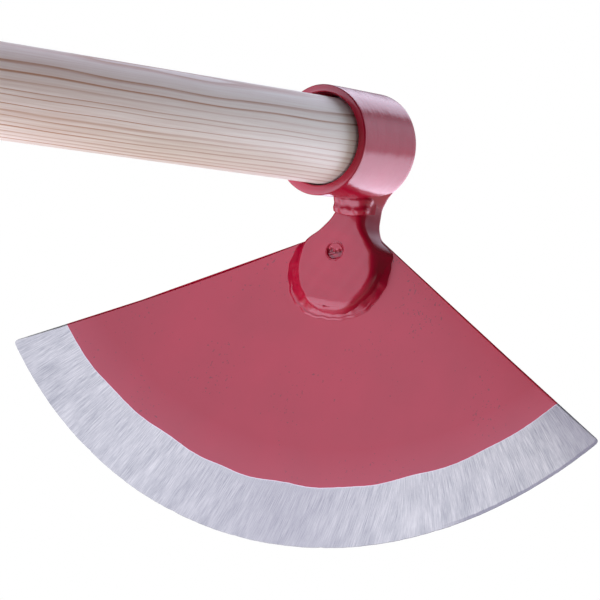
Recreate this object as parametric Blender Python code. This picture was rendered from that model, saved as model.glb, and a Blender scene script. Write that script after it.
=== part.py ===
"""Half-moon eye hoe: a dished sector blade on a forged neck, welded under an eye ring on a round handle.

Sizes are millimetres in the eye's own frame and are turned to metres when a mesh is made:
X runs along the handle towards the head, the eye ring's front rim is at x = 0, Z is up.
An empty then puts the whole hoe with its lowest, middle point at the world's origin.
"""

import math

import bmesh
import bpy
import numpy as np

MM = 0.001
GAP = 0.3                      # clearance between neighbouring pieces

# eye ring: a short tube whose hole sits a little high
RING_LENGTH = 36.8
RING_FRONT_RADIUS = 22.75
RING_REAR_RADIUS = 22.3
RING_BORE_RADIUS = 19.05
RING_BORE_RISE = 0.45
RING_EDGE = 0.5

# round wooden handle, split at the head end for its wedge
HANDLE_LENGTH = 1200.0
HANDLE_RADIUS = 18.0
HANDLE_SPREAD = 0.4            # how much the wedge opens the end, on the radius
BUTT_ROUND = 6.0
WEDGE_LENGTH = 30.0
WEDGE_THICK = 4.6
WEDGE_THIN = 1.6
WEDGE_WIDTH = 34.0

# blade: a sector of a dished plate, raked back towards the handle
BLADE_TOP_X = 34.16            # where the two side edges would meet
BLADE_TOP_Z = -30.5
BLADE_RAKE = math.radians(15.2)
BLADE_HALF_ANGLE = math.radians(61.95)
BLADE_THICKNESS = 2.0
BLADE_EDGE_THICKNESS = 0.9
BLADE_CUT_TOP = 5.0            # the corner under the neck is cut off square here
EDGE_ARC_RADIUS = 203.3
EDGE_ARC_CENTRE = -62.7
EDGE_ARC_FLATTEN = 0.974
EDGE_BAND = 25.7               # ground band along the cutting edge
SIDE_FLARE = 0.0000977         # sideways bow of the side edges, per mm squared
DISH_ALONG = 0.000162          # dish down the blade, per mm squared
DISH_ACROSS = 0.000494         # dish across the blade, per mm squared

# forged neck and its oval pad on the front of the blade
PAD_CENTRE = 20.0
PAD_HALF_WIDTH = 22.0
PAD_HALF_LENGTH = 21.6
PAD_SEAT = 0.75                # height of the pad's back over the flat blade plane
PAD_TOP_HEIGHT = 8.6
PAD_TIP_HEIGHT = 5.4
PAD_SLOPE_START = 8.0
PAD_SLOPE_END = 36.0
NECK_BACK = -2.8               # the neck's back stands behind the blade's front face
NECK_SHOULDER = 4.0
NECK_FRONT = 25.0              # where the neck's front meets the eye
NECK_TOP_HALF_WIDTH = 9.0
CORNER = 1.1

# weld beads and the rivet
PAD_BEAD_RADIUS = 1.5
EYE_BEAD_RADIUS = 1.9
EYE_BEAD_MIDDLE = 29.0         # the bead is straight behind this and curved in front of it
EYE_BEAD_END = 31.5
EYE_BEAD_SQUARENESS = 0.6
RIVET_PLACE = 16.3
RIVET_RADIUS = 3.75
RIVET_HEAD_RADIUS = 7.0
RIVET_HEAD_HEIGHT = 2.4

DOWN = np.array([-math.sin(BLADE_RAKE), 0.0, -math.cos(BLADE_RAKE)])
FRONT = np.array([-math.cos(BLADE_RAKE), 0.0, math.sin(BLADE_RAKE)])
ACROSS = np.array([0.0, 1.0, 0.0])
BLADE_TOP = np.array([BLADE_TOP_X, 0.0, BLADE_TOP_Z])


def clear_scene():
    for thing in list(bpy.data.objects):
        bpy.data.objects.remove(thing, do_unlink=True)


def paint(name, colour, roughness, metallic=0.0):
    """A plain Principled material."""
    material = bpy.data.materials.new(name)
    material.use_nodes = True
    shader = material.node_tree.nodes["Principled BSDF"]
    shader.inputs["Base Color"].default_value = (*colour, 1.0)
    shader.inputs["Roughness"].default_value = roughness
    shader.inputs["Metallic"].default_value = metallic
    return material


def piece(name, rows, faces, material, sharp=35.0):
    """A named object from points in millimetres, faces turned outwards."""
    mesh = bpy.data.meshes.new(name)
    mesh.from_pydata([tuple(float(v) * MM for v in p) for p in rows], [], faces)
    work = bmesh.new()
    work.from_mesh(mesh)
    bmesh.ops.triangulate(work, faces=[f for f in work.faces if len(f.verts) > 3])
    bmesh.ops.recalc_face_normals(work, faces=work.faces)
    work.to_mesh(mesh)
    work.free()
    mesh.shade_smooth()
    mesh.set_sharp_from_angle(angle=math.radians(sharp))
    thing = bpy.data.objects.new(name, mesh)
    bpy.context.collection.objects.link(thing)
    if material is not None:
        mesh.materials.append(material)
    return thing


def loft(loops, capped=True, closed=False):
    """Points and quads that join equal closed loops in order; the ends are capped or joined."""
    count = len(loops[0])
    points = [p for loop in loops for p in loop]
    faces = []
    steps = len(loops) if closed else len(loops) - 1
    for i in range(steps):
        a, b = i * count, ((i + 1) % len(loops)) * count
        for j in range(count):
            k = (j + 1) % count
            faces.append((a + j, a + k, b + k, b + j))
    if capped and not closed:
        faces.append(tuple(range(count)))
        last = (len(loops) - 1) * count
        faces.append(tuple(range(last, last + count)))
    return points, faces


def turned(profile, segments, rise=0.0):
    """Loops of a profile of (x, radius) turned about a line along X."""
    angles = [2 * math.pi * i / segments for i in range(segments)]
    return [[(x, r * math.sin(a), rise + r * math.cos(a)) for a in angles] for x, r in profile]


def on_blade(s, u, h):
    """A point s down the blade's middle, u across it and h in front of its flat plane."""
    return BLADE_TOP + s * DOWN + u * ACROSS + h * FRONT


def dish(s, u):
    return DISH_ALONG * s * s + DISH_ACROSS * u * u


def cutter(name, rows, faces):
    thing = piece(name, rows, faces, None)
    thing.hide_render = True
    thing.display_type = "WIRE"
    return thing


def cut(thing, tool):
    change = thing.modifiers.new("cut_" + tool.name, "BOOLEAN")
    change.operation = "DIFFERENCE"
    change.solver = "EXACT"
    change.object = tool


def pin_loops(radius, heights, place, segments=32):
    """Loops of a round pin that stands square to the pad's face plane at one place."""
    loops = []
    for h, scale in heights:
        ring = []
        for i in range(segments):
            a = 2 * math.pi * i / segments
            ring.append(on_blade(place + radius * scale * math.cos(a), radius * scale * math.sin(a), h))
        loops.append(ring)
    return loops


def make_eye_ring(material):
    """A tube: the outside tapers to the rear, the hole is set high, both rims have small chamfers."""
    e = RING_EDGE
    outer = [(0.0, RING_FRONT_RADIUS - e), (e, RING_FRONT_RADIUS),
             (RING_LENGTH - e, RING_REAR_RADIUS), (RING_LENGTH, RING_REAR_RADIUS - e)]
    inner = [(RING_LENGTH, RING_BORE_RADIUS + e), (RING_LENGTH - e, RING_BORE_RADIUS),
             (e, RING_BORE_RADIUS), (0.0, RING_BORE_RADIUS + e)]
    loops = turned(outer, 72) + turned(inner, 72, RING_BORE_RISE)
    return piece("eye_ring", *loft(loops, closed=True), material)


def make_handle(material, tool):
    """A straight round bar with a rounded butt; the end in the eye is spread a little."""
    butt = RING_LENGTH - HANDLE_LENGTH
    profile = []
    for i in range(7):
        a = math.radians(90 * i / 6)
        profile.append((butt + BUTT_ROUND * (1 - math.sin(a)),
                        HANDLE_RADIUS - BUTT_ROUND * (1 - math.cos(a))))
    profile.sort()
    profile += [(butt * 0.5, HANDLE_RADIUS), (-2.0, HANDLE_RADIUS), (8.0, HANDLE_RADIUS),
                (RING_LENGTH - 1.0, HANDLE_RADIUS + HANDLE_SPREAD),
                (RING_LENGTH, HANDLE_RADIUS + HANDLE_SPREAD - 1.0)]
    thing = piece("handle", *loft(turned(profile, 56)), material)
    cut(thing, tool)
    return thing


def wedge_box(grow, reach):
    """The wedge's four-sided taper, grown by a clearance and carried past the handle's end."""
    tip = RING_LENGTH - WEDGE_LENGTH - grow
    end = RING_LENGTH + reach
    slope = (WEDGE_THICK - WEDGE_THIN) / WEDGE_LENGTH
    thick = WEDGE_THICK + slope * reach
    half = WEDGE_WIDTH / 2 + grow + (HANDLE_RADIUS if grow else 0.0)
    loops = []
    for x, t in ((tip, WEDGE_THIN), (end, thick)):
        z = t / 2 + grow
        loops.append([(x, -half, -z), (x, half, -z), (x, half, z), (x, -half, z)])
    return loft(loops)


def side_reach(angle):
    """Distance from the top corner to the cutting arc along each direction, and its place."""
    t = 190.0
    for _ in range(30):
        s, u = fan_point(t, angle)
        miss = math.hypot(s - EDGE_ARC_CENTRE, u * EDGE_ARC_FLATTEN) - EDGE_ARC_RADIUS
        t -= miss
    return t


def fan_point(t, angle):
    """A point t along a line from the top corner; the outer lines bow outwards."""
    bow = SIDE_FLARE * t * t * (angle / BLADE_HALF_ANGLE)
    return (t * math.cos(angle) - bow * math.sin(angle),
            t * math.sin(angle) + bow * math.cos(angle))


def make_blade(material, tool):
    """A fan of lines from the top corner, on a dished surface, thinned to the cutting edge."""
    columns, rows = 48, 10
    front, back = [], []
    for j in range(columns + 1):
        angle = BLADE_HALF_ANGLE * (2 * j / columns - 1)
        far = side_reach(angle)
        near = BLADE_CUT_TOP / math.cos(angle)
        band = far - EDGE_BAND
        stops = [near + (band - near) * i / (rows - 2) for i in range(rows - 1)] + [far]
        for i, t in enumerate(stops):
            s, u = fan_point(t, angle)
            thick = BLADE_EDGE_THICKNESS if i == rows - 1 else BLADE_THICKNESS
            front.append(on_blade(s, u, dish(s, u)))
            back.append(on_blade(s, u, dish(s, u) - thick))
    faces = []
    size = len(front)
    for j in range(columns):
        for i in range(rows - 1):
            a = j * rows + i
            quad = (a, a + 1, a + rows + 1, a + rows)
            faces.append(quad)
            faces.append(tuple(size + q for q in reversed(quad)))
    rim = list(range(rows))
    rim += [j * rows + rows - 1 for j in range(1, columns + 1)]
    rim += [columns * rows + i for i in range(rows - 2, -1, -1)]
    rim += [j * rows for j in range(columns - 1, 0, -1)]
    for n, a in enumerate(rim):
        b = rim[(n + 1) % len(rim)]
        faces.append((a, b, size + b, size + a))
    thing = piece("blade", front + back, faces, material, 25.0)
    cut(thing, tool)
    return thing


def pad_height(s):
    """Front height of the neck and pad: level, then a plane sloping to the tip, then a chamfer."""
    if s <= PAD_SLOPE_START:
        return PAD_TOP_HEIGHT
    fall = (PAD_TOP_HEIGHT - PAD_TIP_HEIGHT) / (PAD_SLOPE_END - PAD_SLOPE_START)
    height = PAD_TOP_HEIGHT - fall * (s - PAD_SLOPE_START)
    if s > PAD_SLOPE_END:
        height = PAD_TIP_HEIGHT - 0.38 * (s - PAD_SLOPE_END)
    return height


def pad_half_width(s, grow=0.0):
    """Half width of the pad's ellipse, grown by a margin."""
    part = (s - PAD_CENTRE) / (PAD_HALF_LENGTH + grow)
    return (PAD_HALF_WIDTH + grow) * math.sqrt(max(0.0, 1.0 - part * part))


def neck_section(front, back, half_front, half_back):
    """A closed section with a flat front, rounded corners and sides that spread to the back."""
    f, b = np.array(front), np.array(back)
    deep = np.linalg.norm(f - b)
    out = (f - b) / deep
    c = min(CORNER, half_front * 0.4)
    half = [(0.0, deep), (half_front * 0.5, deep), (half_front - c, deep),
            (half_front - 0.3 * c, deep - 0.3 * c), (half_front, deep - c)]
    lean = half_back - half_front
    for part in (0.35, 0.65):
        half.append((half_front + lean * part * part * 1.1, deep - c - (deep - 2 * c) * part))
    half += [(half_back, c), (half_back - 0.3 * c, 0.3 * c), (half_back - c, 0.0), (half_back * 0.5, 0.0)]
    whole = half + [(0.0, 0.0)] + [(-u, h) for u, h in reversed(half[1:])]
    return [b + out * h + ACROSS * u for u, h in whole]


def make_neck(material, tools):
    """Sections lofted from the eye, down the neck, out along the blade's top edges and to the pad's tip."""
    stations = [((24.9, 0, -15.0), (36.6, 0, -15.0), 9.2, 15.0),
                ((25.0, 0, -18.0), (36.7, 0, -18.0), 8.8, 14.2),
                ((25.1, 0, -20.5), (36.7, 0, -20.5), 8.4, 12.0),
                ((25.4, 0, -23.2), (36.7, 0, -23.6), 7.8, 10.1),
                ((25.6, 0, -26.2), (36.7, 0, -27.0), 7.3, 9.4)]
    for s, front_half, back_half, back_height in (
            (0.0, 7.3, 9.3, NECK_BACK), (NECK_SHOULDER - 0.1, 7.8, 9.8, NECK_BACK),
            (NECK_SHOULDER, 7.8, 9.9, PAD_SEAT), (7.0, 8.8, 12.8, PAD_SEAT), (10.0, 10.6, 17.8, PAD_SEAT),
            (12.5, 13.2, 20.9, PAD_SEAT), (15.0, 15.2, 21.4, PAD_SEAT), (17.0, 16.4, 21.5, PAD_SEAT)):
        stations.append((on_blade(s, 0, pad_height(s)), on_blade(s, 0, back_height), front_half, back_half))
    for s, step in ((21.0, 4.4), (26.0, 3.6), (31.0, 2.8), (34.0, 2.6), (36.0, 2.4),
                    (38.0, 1.6), (39.8, 1.2), (41.0, 0.8)):
        half = pad_half_width(s)
        stations.append((on_blade(s, 0, pad_height(s)), on_blade(s, 0, PAD_SEAT), half - step, half))
    loops = [neck_section(*row) for row in stations]
    thing = piece("neck_forging", *loft(loops), material, 30.0)
    for tool in tools:
        cut(thing, tool)
    return thing


def bead(name, centres, sideways, upwards, radius, material, closed):
    """A round-backed bead swept along a path; sideways and upwards give each section its plane."""
    loops = []
    for c, side, up in zip(centres, sideways, upwards):
        loop = []
        for i in range(10):
            a = 2 * math.pi * i / 10
            loop.append(c + side * (radius * math.cos(a)) + up * (radius * math.sin(a)))
        loops.append(loop)
    return piece(name, *loft(loops, closed=closed), material, 60.0)


def make_pad_weld(material):
    """The bead that runs in a U around the pad's foot."""
    steps = 36
    centres, sides, ups = [], [], []
    grow = GAP + PAD_BEAD_RADIUS
    for i in range(steps + 1):
        a = math.radians(-100 + 200 * i / steps)
        s = PAD_CENTRE + (PAD_HALF_LENGTH + grow) * math.cos(a)
        u = (PAD_HALF_WIDTH + grow) * math.sin(a)
        out = math.cos(a) * DOWN / PAD_HALF_LENGTH + math.sin(a) * ACROSS / PAD_HALF_WIDTH
        out = out / np.linalg.norm(out)
        centres.append(on_blade(s, u, dish(s, u) + GAP + PAD_BEAD_RADIUS))
        sides.append(out)
        ups.append(FRONT)
    return bead("pad_weld", centres, sides, ups, PAD_BEAD_RADIUS, material, False)


def make_eye_weld(material):
    """The bead in a U around the front and sides of the neck's top, close under the eye ring."""
    reach = RING_FRONT_RADIUS + GAP + EYE_BEAD_RADIUS + 0.1
    room = GAP + EYE_BEAD_RADIUS
    half_x, half_y = EYE_BEAD_MIDDLE - NECK_FRONT + room, NECK_TOP_HALF_WIDTH + room
    flat = [(EYE_BEAD_END, half_y), ((EYE_BEAD_END + EYE_BEAD_MIDDLE) / 2, half_y)]
    for i in range(25):
        a = math.pi * (0.5 + i / 24)
        x = EYE_BEAD_MIDDLE - half_x * abs(math.cos(a)) ** EYE_BEAD_SQUARENESS
        flat.append((x, half_y * math.copysign(abs(math.sin(a)) ** EYE_BEAD_SQUARENESS, math.sin(a))))
    flat += [(x, -y) for x, y in reversed(flat[:2])]
    centres = [np.array([x, y, -math.sqrt(reach * reach - y * y)]) for x, y in flat]
    sides, ups = [], []
    for i, c in enumerate(centres):
        along = centres[min(i + 1, len(centres) - 1)] - centres[max(i - 1, 0)]
        away = np.array([0.0, c[1], c[2]]) / reach
        out = np.cross(along, away)
        sides.append(out / np.linalg.norm(out))
        ups.append(np.cross(sides[-1], along / np.linalg.norm(along)))
    return bead("eye_weld", centres, sides, ups, EYE_BEAD_RADIUS, material, False)


def make_rivet(material):
    """A rivet flush in the pad's face, with a low domed head behind the blade."""
    top = pad_height(RIVET_PLACE) - 0.15
    back = -BLADE_THICKNESS - GAP
    heights = [(top, 0.97), (top - 0.1, 1.0), (back, 1.0)]
    loops = pin_loops(RIVET_RADIUS, heights, RIVET_PLACE)
    head = [(back, 1.0), (back - 0.5, 1.0), (back - 1.4, 0.85), (back - 2.0, 0.6),
            (back - RIVET_HEAD_HEIGHT, 0.25)]
    loops += pin_loops(RIVET_HEAD_RADIUS, head, RIVET_PLACE)
    return piece("pad_rivet", *loft(loops), material)


def main():
    clear_scene()
    red = paint("red_enamel", (0.43, 0.08, 0.12), 0.35)
    gloss = paint("red_gloss_enamel", (0.38, 0.01, 0.03), 0.15)
    wood = paint("bare_ash", (0.74, 0.66, 0.56), 0.6)
    oak = paint("wedge_oak", (0.5, 0.33, 0.2), 0.65)

    ring_tool = cutter("ring_room", *loft(turned(
        [(-20.0, RING_FRONT_RADIUS + GAP), (RING_LENGTH + 20.0, RING_FRONT_RADIUS + GAP)], 96)))
    rivet_tool = cutter("rivet_room", *loft(pin_loops(
        RIVET_RADIUS + GAP, [(20.0, 1.0), (-12.0, 1.0)], RIVET_PLACE, 40)))
    wedge_tool = cutter("wedge_room", *wedge_box(GAP, 6.0))

    pieces = [make_eye_ring(gloss), make_handle(wood, wedge_tool),
              piece("handle_wedge", *wedge_box(0.0, 0.0), oak),
              make_blade(red, rivet_tool), make_neck(gloss, [ring_tool, rivet_tool]),
              make_pad_weld(gloss), make_eye_weld(gloss), make_rivet(gloss)]

    points = [v.co for thing in pieces for v in thing.data.vertices]
    low_x, high_x = min(p.x for p in points), max(p.x for p in points)
    frame = bpy.data.objects.new("hoe_frame", None)
    bpy.context.collection.objects.link(frame)
    frame.location = (-(low_x + high_x) / 2, 0.0, -min(p.z for p in points))
    for thing in pieces + [ring_tool, rivet_tool, wedge_tool]:
        thing.parent = frame


main()
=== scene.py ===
import math

import bpy
import numpy as np
from mathutils import Matrix, Vector


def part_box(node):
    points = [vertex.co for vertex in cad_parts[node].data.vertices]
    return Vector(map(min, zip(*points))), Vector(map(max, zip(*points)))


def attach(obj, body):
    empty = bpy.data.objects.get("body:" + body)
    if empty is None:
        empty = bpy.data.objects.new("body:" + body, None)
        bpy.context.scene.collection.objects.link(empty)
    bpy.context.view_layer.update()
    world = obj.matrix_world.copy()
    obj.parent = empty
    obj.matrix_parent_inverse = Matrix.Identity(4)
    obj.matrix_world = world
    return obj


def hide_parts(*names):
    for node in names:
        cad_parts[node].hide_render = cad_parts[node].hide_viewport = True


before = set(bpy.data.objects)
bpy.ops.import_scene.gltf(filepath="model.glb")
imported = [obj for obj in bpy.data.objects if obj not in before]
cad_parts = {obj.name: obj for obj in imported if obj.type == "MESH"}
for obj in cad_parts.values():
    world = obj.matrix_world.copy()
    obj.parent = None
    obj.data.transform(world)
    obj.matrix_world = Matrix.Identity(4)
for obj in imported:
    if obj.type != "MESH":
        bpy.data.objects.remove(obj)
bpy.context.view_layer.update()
print("frame loaded")

mm = 0.001

# the eye's own frame, in mm: x = 0 at the ring's front rim, x grows along the handle towards the head
ringLow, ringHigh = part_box("eye_ring")
handleLow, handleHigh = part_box("handle")
eyeCentre = np.array([ringLow[0], 0.0, (ringLow[2] + ringHigh[2]) / 2])
ringLength = (ringHigh[0] - ringLow[0]) / mm
ringRadius = (ringHigh[2] - ringLow[2]) / 2 / mm
handleLength = (handleHigh[0] - handleLow[0]) / mm

# mm and degrees; the paint line lifts between two ray angles in radians, arcScale turns an angle into mm of
# arc, sideLeast is the share of the thickness left at a side edge, and each nick in the cutting edge is its
# place along it, depth and half width
bladeShape = dict(topX=34.16, topZ=-30.5, rake=15.2, halfAngle=61.95, thickness=2.0, edgeThickness=0.9,
                  cutTop=5.0, arcRadius=203.3, arcCentre=-62.7, arcFlatten=0.974, sideFlare=0.0000977,
                  dishAlong=0.000162, dishAcross=0.000494, cornerRound=2.2, sideRound=0.7, sideLeast=0.35,
                  paintRadius=182.5, paintCentre=-67.6, paintLift=2.6, liftFrom=0.62, liftTo=1.08,
                  paintWander=0.6, paintFilm=0.12, bevelDrop=0.3, edgeWear=0.25, edgeWander=0.10,
                  edgeRound=0.7, arcScale=140.0,
                  nicks=((-88, 0.2, 1.6), (-31, 0.25, 1.4), (12, 0.2, 1.2), (47, 0.25, 2.0), (104, 0.2, 1.5)))
rake = math.radians(bladeShape["rake"])
down = np.array([-math.sin(rake), 0.0, -math.cos(rake)])    # down the blade's middle
front = np.array([-math.cos(rake), 0.0, math.sin(rake)])    # out of the blade's front face
across = np.array([0.0, 1.0, 0.0])
bladeTop = np.array([bladeShape["topX"], 0.0, bladeShape["topZ"]])


def linear(code):
    # sRGB hex to linear colour
    parts = [int(code[i:i + 2], 16) / 255 for i in (1, 3, 5)]
    return tuple(p / 12.92 if p <= 0.04045 else ((p + 0.055) / 1.055) ** 2.4 for p in parts) + (1.0,)


def put(tree, kind, sockets=None, stops=(), **fields):
    # one node: its fields, its ramp's stops, then its sockets, each a value or another node's output
    node = tree.nodes.new("ShaderNode" + kind)
    for field, value in fields.items():
        setattr(node, field, value)
    for count, (position, colour) in enumerate(stops):
        elements = node.color_ramp.elements
        stop = elements[count] if count < 2 else elements.new(position)
        stop.position, stop.color = position, colour
    for socket, value in (sockets or {}).items():
        if isinstance(value, bpy.types.NodeSocket):
            tree.links.new(value, node.inputs[socket])
        else:
            node.inputs[socket].default_value = value
    return node


def newMaterial(name):
    material = bpy.data.materials.new(name)
    material.use_nodes = True
    material.node_tree.nodes.clear()
    return material, material.node_tree


def onBlade(s, u, h):
    # top corner + s down the middle + u across + h out of the front, all in mm
    s, u, h = np.broadcast_arrays(*(np.asarray(v, float) for v in (s, u, h)))
    return bladeTop + s[..., None] * down + u[..., None] * across + h[..., None] * front


def dish(s, u):
    # the plate bends forward with the square of the distance from its middle
    return bladeShape["dishAlong"] * s * s + bladeShape["dishAcross"] * u * u


def waves(x, seed, lengths, size):
    # sum of sines of several wavelengths, each with a seeded phase
    phases = np.random.default_rng(seed).uniform(0, 2 * math.pi, len(lengths))
    return size * sum(np.sin(2 * math.pi * x / l + p) for l, p in zip(lengths, phases)) / len(lengths)


def smoothStep(x, low, high):
    # 3t^2 - 2t^3 of how far x has come from low to high
    t = np.clip((x - low) / (high - low), 0.0, 1.0)
    return t * t * (3 - 2 * t)


def spline(keys, count):
    # Catmull-Rom curve through the rows of keys, sampled count times
    keys = np.asarray(keys, float)
    padded = np.vstack([2 * keys[0] - keys[1], keys, 2 * keys[-1] - keys[-2]])
    t = np.linspace(0, len(keys) - 1, count)
    i = np.minimum(t.astype(int), len(keys) - 2)
    f = (t - i)[:, None]
    a, b, c, d = (padded[i + k] for k in range(4))
    return 0.5 * (2 * b + (c - a) * f + (2 * a - 5 * b + 4 * c - d) * f ** 2
                  + (3 * b - 3 * c + d - a) * f ** 3)


def surface(name, grid, wrapRows=False, layers=None, sharp=None):
    # grid is rows x columns x 3 in mm in the eye's frame; the columns close on themselves, and the rows
    # either do too or end in a fan of triangles; layers are point attributes of the same grid
    rows, columns = grid.shape[:2]
    points = eyeCentre + grid.reshape(-1, 3) * mm
    r = np.arange(rows if wrapRows else rows - 1)[:, None]
    c = np.arange(columns)[None, :]
    r2, c2 = (r + 1) % rows, (c + 1) % columns
    quads = np.stack(np.broadcast_arrays(r * columns + c, r * columns + c2, r2 * columns + c2,
                                         r2 * columns + c), -1).reshape(-1, 4)
    faces = quads.tolist()
    endRings = []
    if not wrapRows:
        for row, turn in ((0, -1), (rows - 1, 1)):
            centre = len(points)
            endRings.append(slice(row * columns, (row + 1) * columns))
            points = np.vstack([points, points[endRings[-1]].mean(0)])
            ring = row * columns + np.arange(columns)
            nextRing = np.roll(ring, -1)
            pairs = np.stack([ring, nextRing] if turn == 1 else [nextRing, ring], 1)
            faces += [(int(a), int(b), centre) for a, b in pairs]
    mesh = bpy.data.meshes.new(name)
    mesh.from_pydata(points.tolist(), [], faces)
    # six times the volume; a negative one means that the faces point inwards
    corners = [points[[f[k] for f in faces]] for k in range(3)]
    volume = np.einsum("ij,ij->", corners[0], np.cross(corners[1], corners[2]))
    q = points[quads]
    volume += np.einsum("ij,ij->", q[:, 0], np.cross(q[:, 2], q[:, 3]))
    if volume < 0:
        mesh.flip_normals()
    for key, values in (layers or {}).items():
        flat = values.reshape(rows * columns, -1)
        tail = np.array([flat[part].mean(0) for part in endRings]).reshape(-1, flat.shape[1])
        kind = "FLOAT" if flat.shape[1] == 1 else "FLOAT_VECTOR"
        attribute = mesh.attributes.new(key, kind, "POINT")
        attribute.data.foreach_set("value" if kind == "FLOAT" else "vector", np.vstack([flat, tail]).ravel())
    mesh.shade_smooth()
    if sharp is not None:
        mesh.set_sharp_from_angle(angle=math.radians(sharp))
    thing = bpy.data.objects.new(name, mesh)
    bpy.context.collection.objects.link(thing)
    return thing


def finishPiece(thing, material, slot, *nodes):
    # every piece is on the one body and stands in for its CAD node
    thing.data.materials.append(material)
    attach(thing, "root")
    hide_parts(*nodes)


def fanPoint(t, angle):
    # distance t from the top corner along a ray; the outer rays bow outwards
    bow = bladeShape["sideFlare"] * t * t * angle / math.radians(bladeShape["halfAngle"])
    return t * np.cos(angle) - bow * np.sin(angle), t * np.sin(angle) + bow * np.cos(angle)


def reachTo(angle, radius, centre, flatten):
    # how far along each ray a flattened circle about the middle line is met, closed in on step by step
    t = np.full_like(angle, 180.0)
    for _ in range(40):
        s, u = fanPoint(t, angle)
        t = t - (np.hypot(s - centre, u * flatten) - radius)
    return t


def makeBlade(material):
    # rays from the top corner; each carries a closed loop down the front, round the edge and up the back
    w = bladeShape
    half = math.radians(w["halfAngle"])
    # the rays crowd together at the two side edges
    inner = np.linspace(-1, 1, 221)[1:-1] * (half - 0.024)
    ends = half - np.array([0.0, 0.0006, 0.0016, 0.003, 0.005, 0.008, 0.012, 0.017, 0.022])
    angle = np.concatenate([-ends, inner, ends[::-1]])
    arcPlace = angle * w["arcScale"]
    far = reachTo(angle, w["arcRadius"], w["arcCentre"], w["arcFlatten"])
    paint = reachTo(angle, w["paintRadius"], w["paintCentre"], 1.0)
    paint = paint + w["paintLift"] * smoothStep(angle, w["liftFrom"], w["liftTo"])
    paint = paint + waves(arcPlace, 5, (71.0, 38.0), w["paintWander"])
    # the two corners are rounded off; the edge wanders a little and is nicked
    sideGap = far * (half - np.abs(angle))
    x = np.clip(1 - sideGap / w["cornerRound"], 0, 1)
    far = far - w["cornerRound"] * (1 - np.sqrt(1 - x * x))
    along = angle * far
    far = far - w["edgeWear"] + waves(along, 3, (61.0, 23.0, 9.0, 4.1), w["edgeWander"])
    for place, deep, width in w["nicks"]:
        far = far - deep * np.exp(-((along - place) / width) ** 2)
    near = w["cutTop"] / np.cos(angle)
    # the steps along a ray are finer over the ground band
    v = np.concatenate([np.linspace(0, 0.8, 44)[:-1], np.linspace(0.8, 1.0, 30)])
    t = near[:, None] + (far - near)[:, None] * v[None, :]
    s, u = fanPoint(t, angle[:, None])
    band = t - paint[:, None]
    drop = np.clip(band / (far - paint)[:, None], 0, 1)
    film = w["paintFilm"] * (1 - smoothStep(band, -0.5, 0.3))
    frontH = dish(s, u) + film - w["bevelDrop"] * drop - w["paintFilm"]
    backH = dish(s, u) - (w["thickness"] - (w["thickness"] - w["edgeThickness"]) * drop)
    # the plate's side edges are rounded over
    roundX = np.clip(1 - sideGap / w["sideRound"], 0, 1)
    squeeze = (w["sideLeast"] + (1 - w["sideLeast"]) * np.sqrt(1 - roundX ** 2))[:, None]
    middle = (frontH + backH) / 2
    frontH = middle + (frontH - middle) * squeeze
    backH = middle + (backH - middle) * squeeze
    # so is the cutting edge
    turn = np.radians([60.0, 30.0, 0.0, -30.0, -60.0])
    depth = (frontH - backH)[:, -1:] / 2
    tEdge = far[:, None] - depth * (1 - np.cos(turn))[None, :] * w["edgeRound"]
    sEdge, uEdge = fanPoint(tEdge + depth * 0.2, angle[:, None])
    hEdge = middle[:, -1:] + depth * np.sin(turn)[None, :]
    loopS = np.hstack([s, sEdge, s[:, ::-1]])
    loopU = np.hstack([u, uEdge, u[:, ::-1]])
    loopH = np.hstack([frontH, hEdge, backH[:, ::-1]])
    # how deep into the ground band a point lies, where it is on the arc and along its ray, and its face
    bandDepth = np.hstack([band, np.repeat(band[:, -1:], len(turn), 1), band[:, ::-1]])
    arc = np.repeat(arcPlace[:, None], loopS.shape[1], 1)
    radial = np.hstack([t, tEdge, t[:, ::-1]])
    face = np.hstack([np.zeros_like(t), np.full_like(tEdge, 0.5), np.ones_like(t)])
    edgeGap = np.repeat(far[:, None], loopS.shape[1], 1) - radial
    layers = dict(bandDepth=bandDepth, grindPlace=np.stack([arc, radial, face], -1), edgeGap=edgeGap)
    thing = surface("hoeBlade", onBlade(loopS, loopU, loopH), sharp=38, layers=layers)
    finishPiece(thing, material, "satin_enamel", "blade")
    print("blade made")


# closeDown and openUp are how the hole narrows behind its mouth and opens again at the rear
ringShape = dict(boreRadius=19.05, boreRise=0.45, rearRadius=22.3, edge=0.7, columns=220, closeDown=0.75,
                 openUp=0.2, dent=0.22, dentTurn=0.75, dentSpread=0.35, dentLength=5.0, waver=0.05,
                 ripple=0.03)


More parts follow.
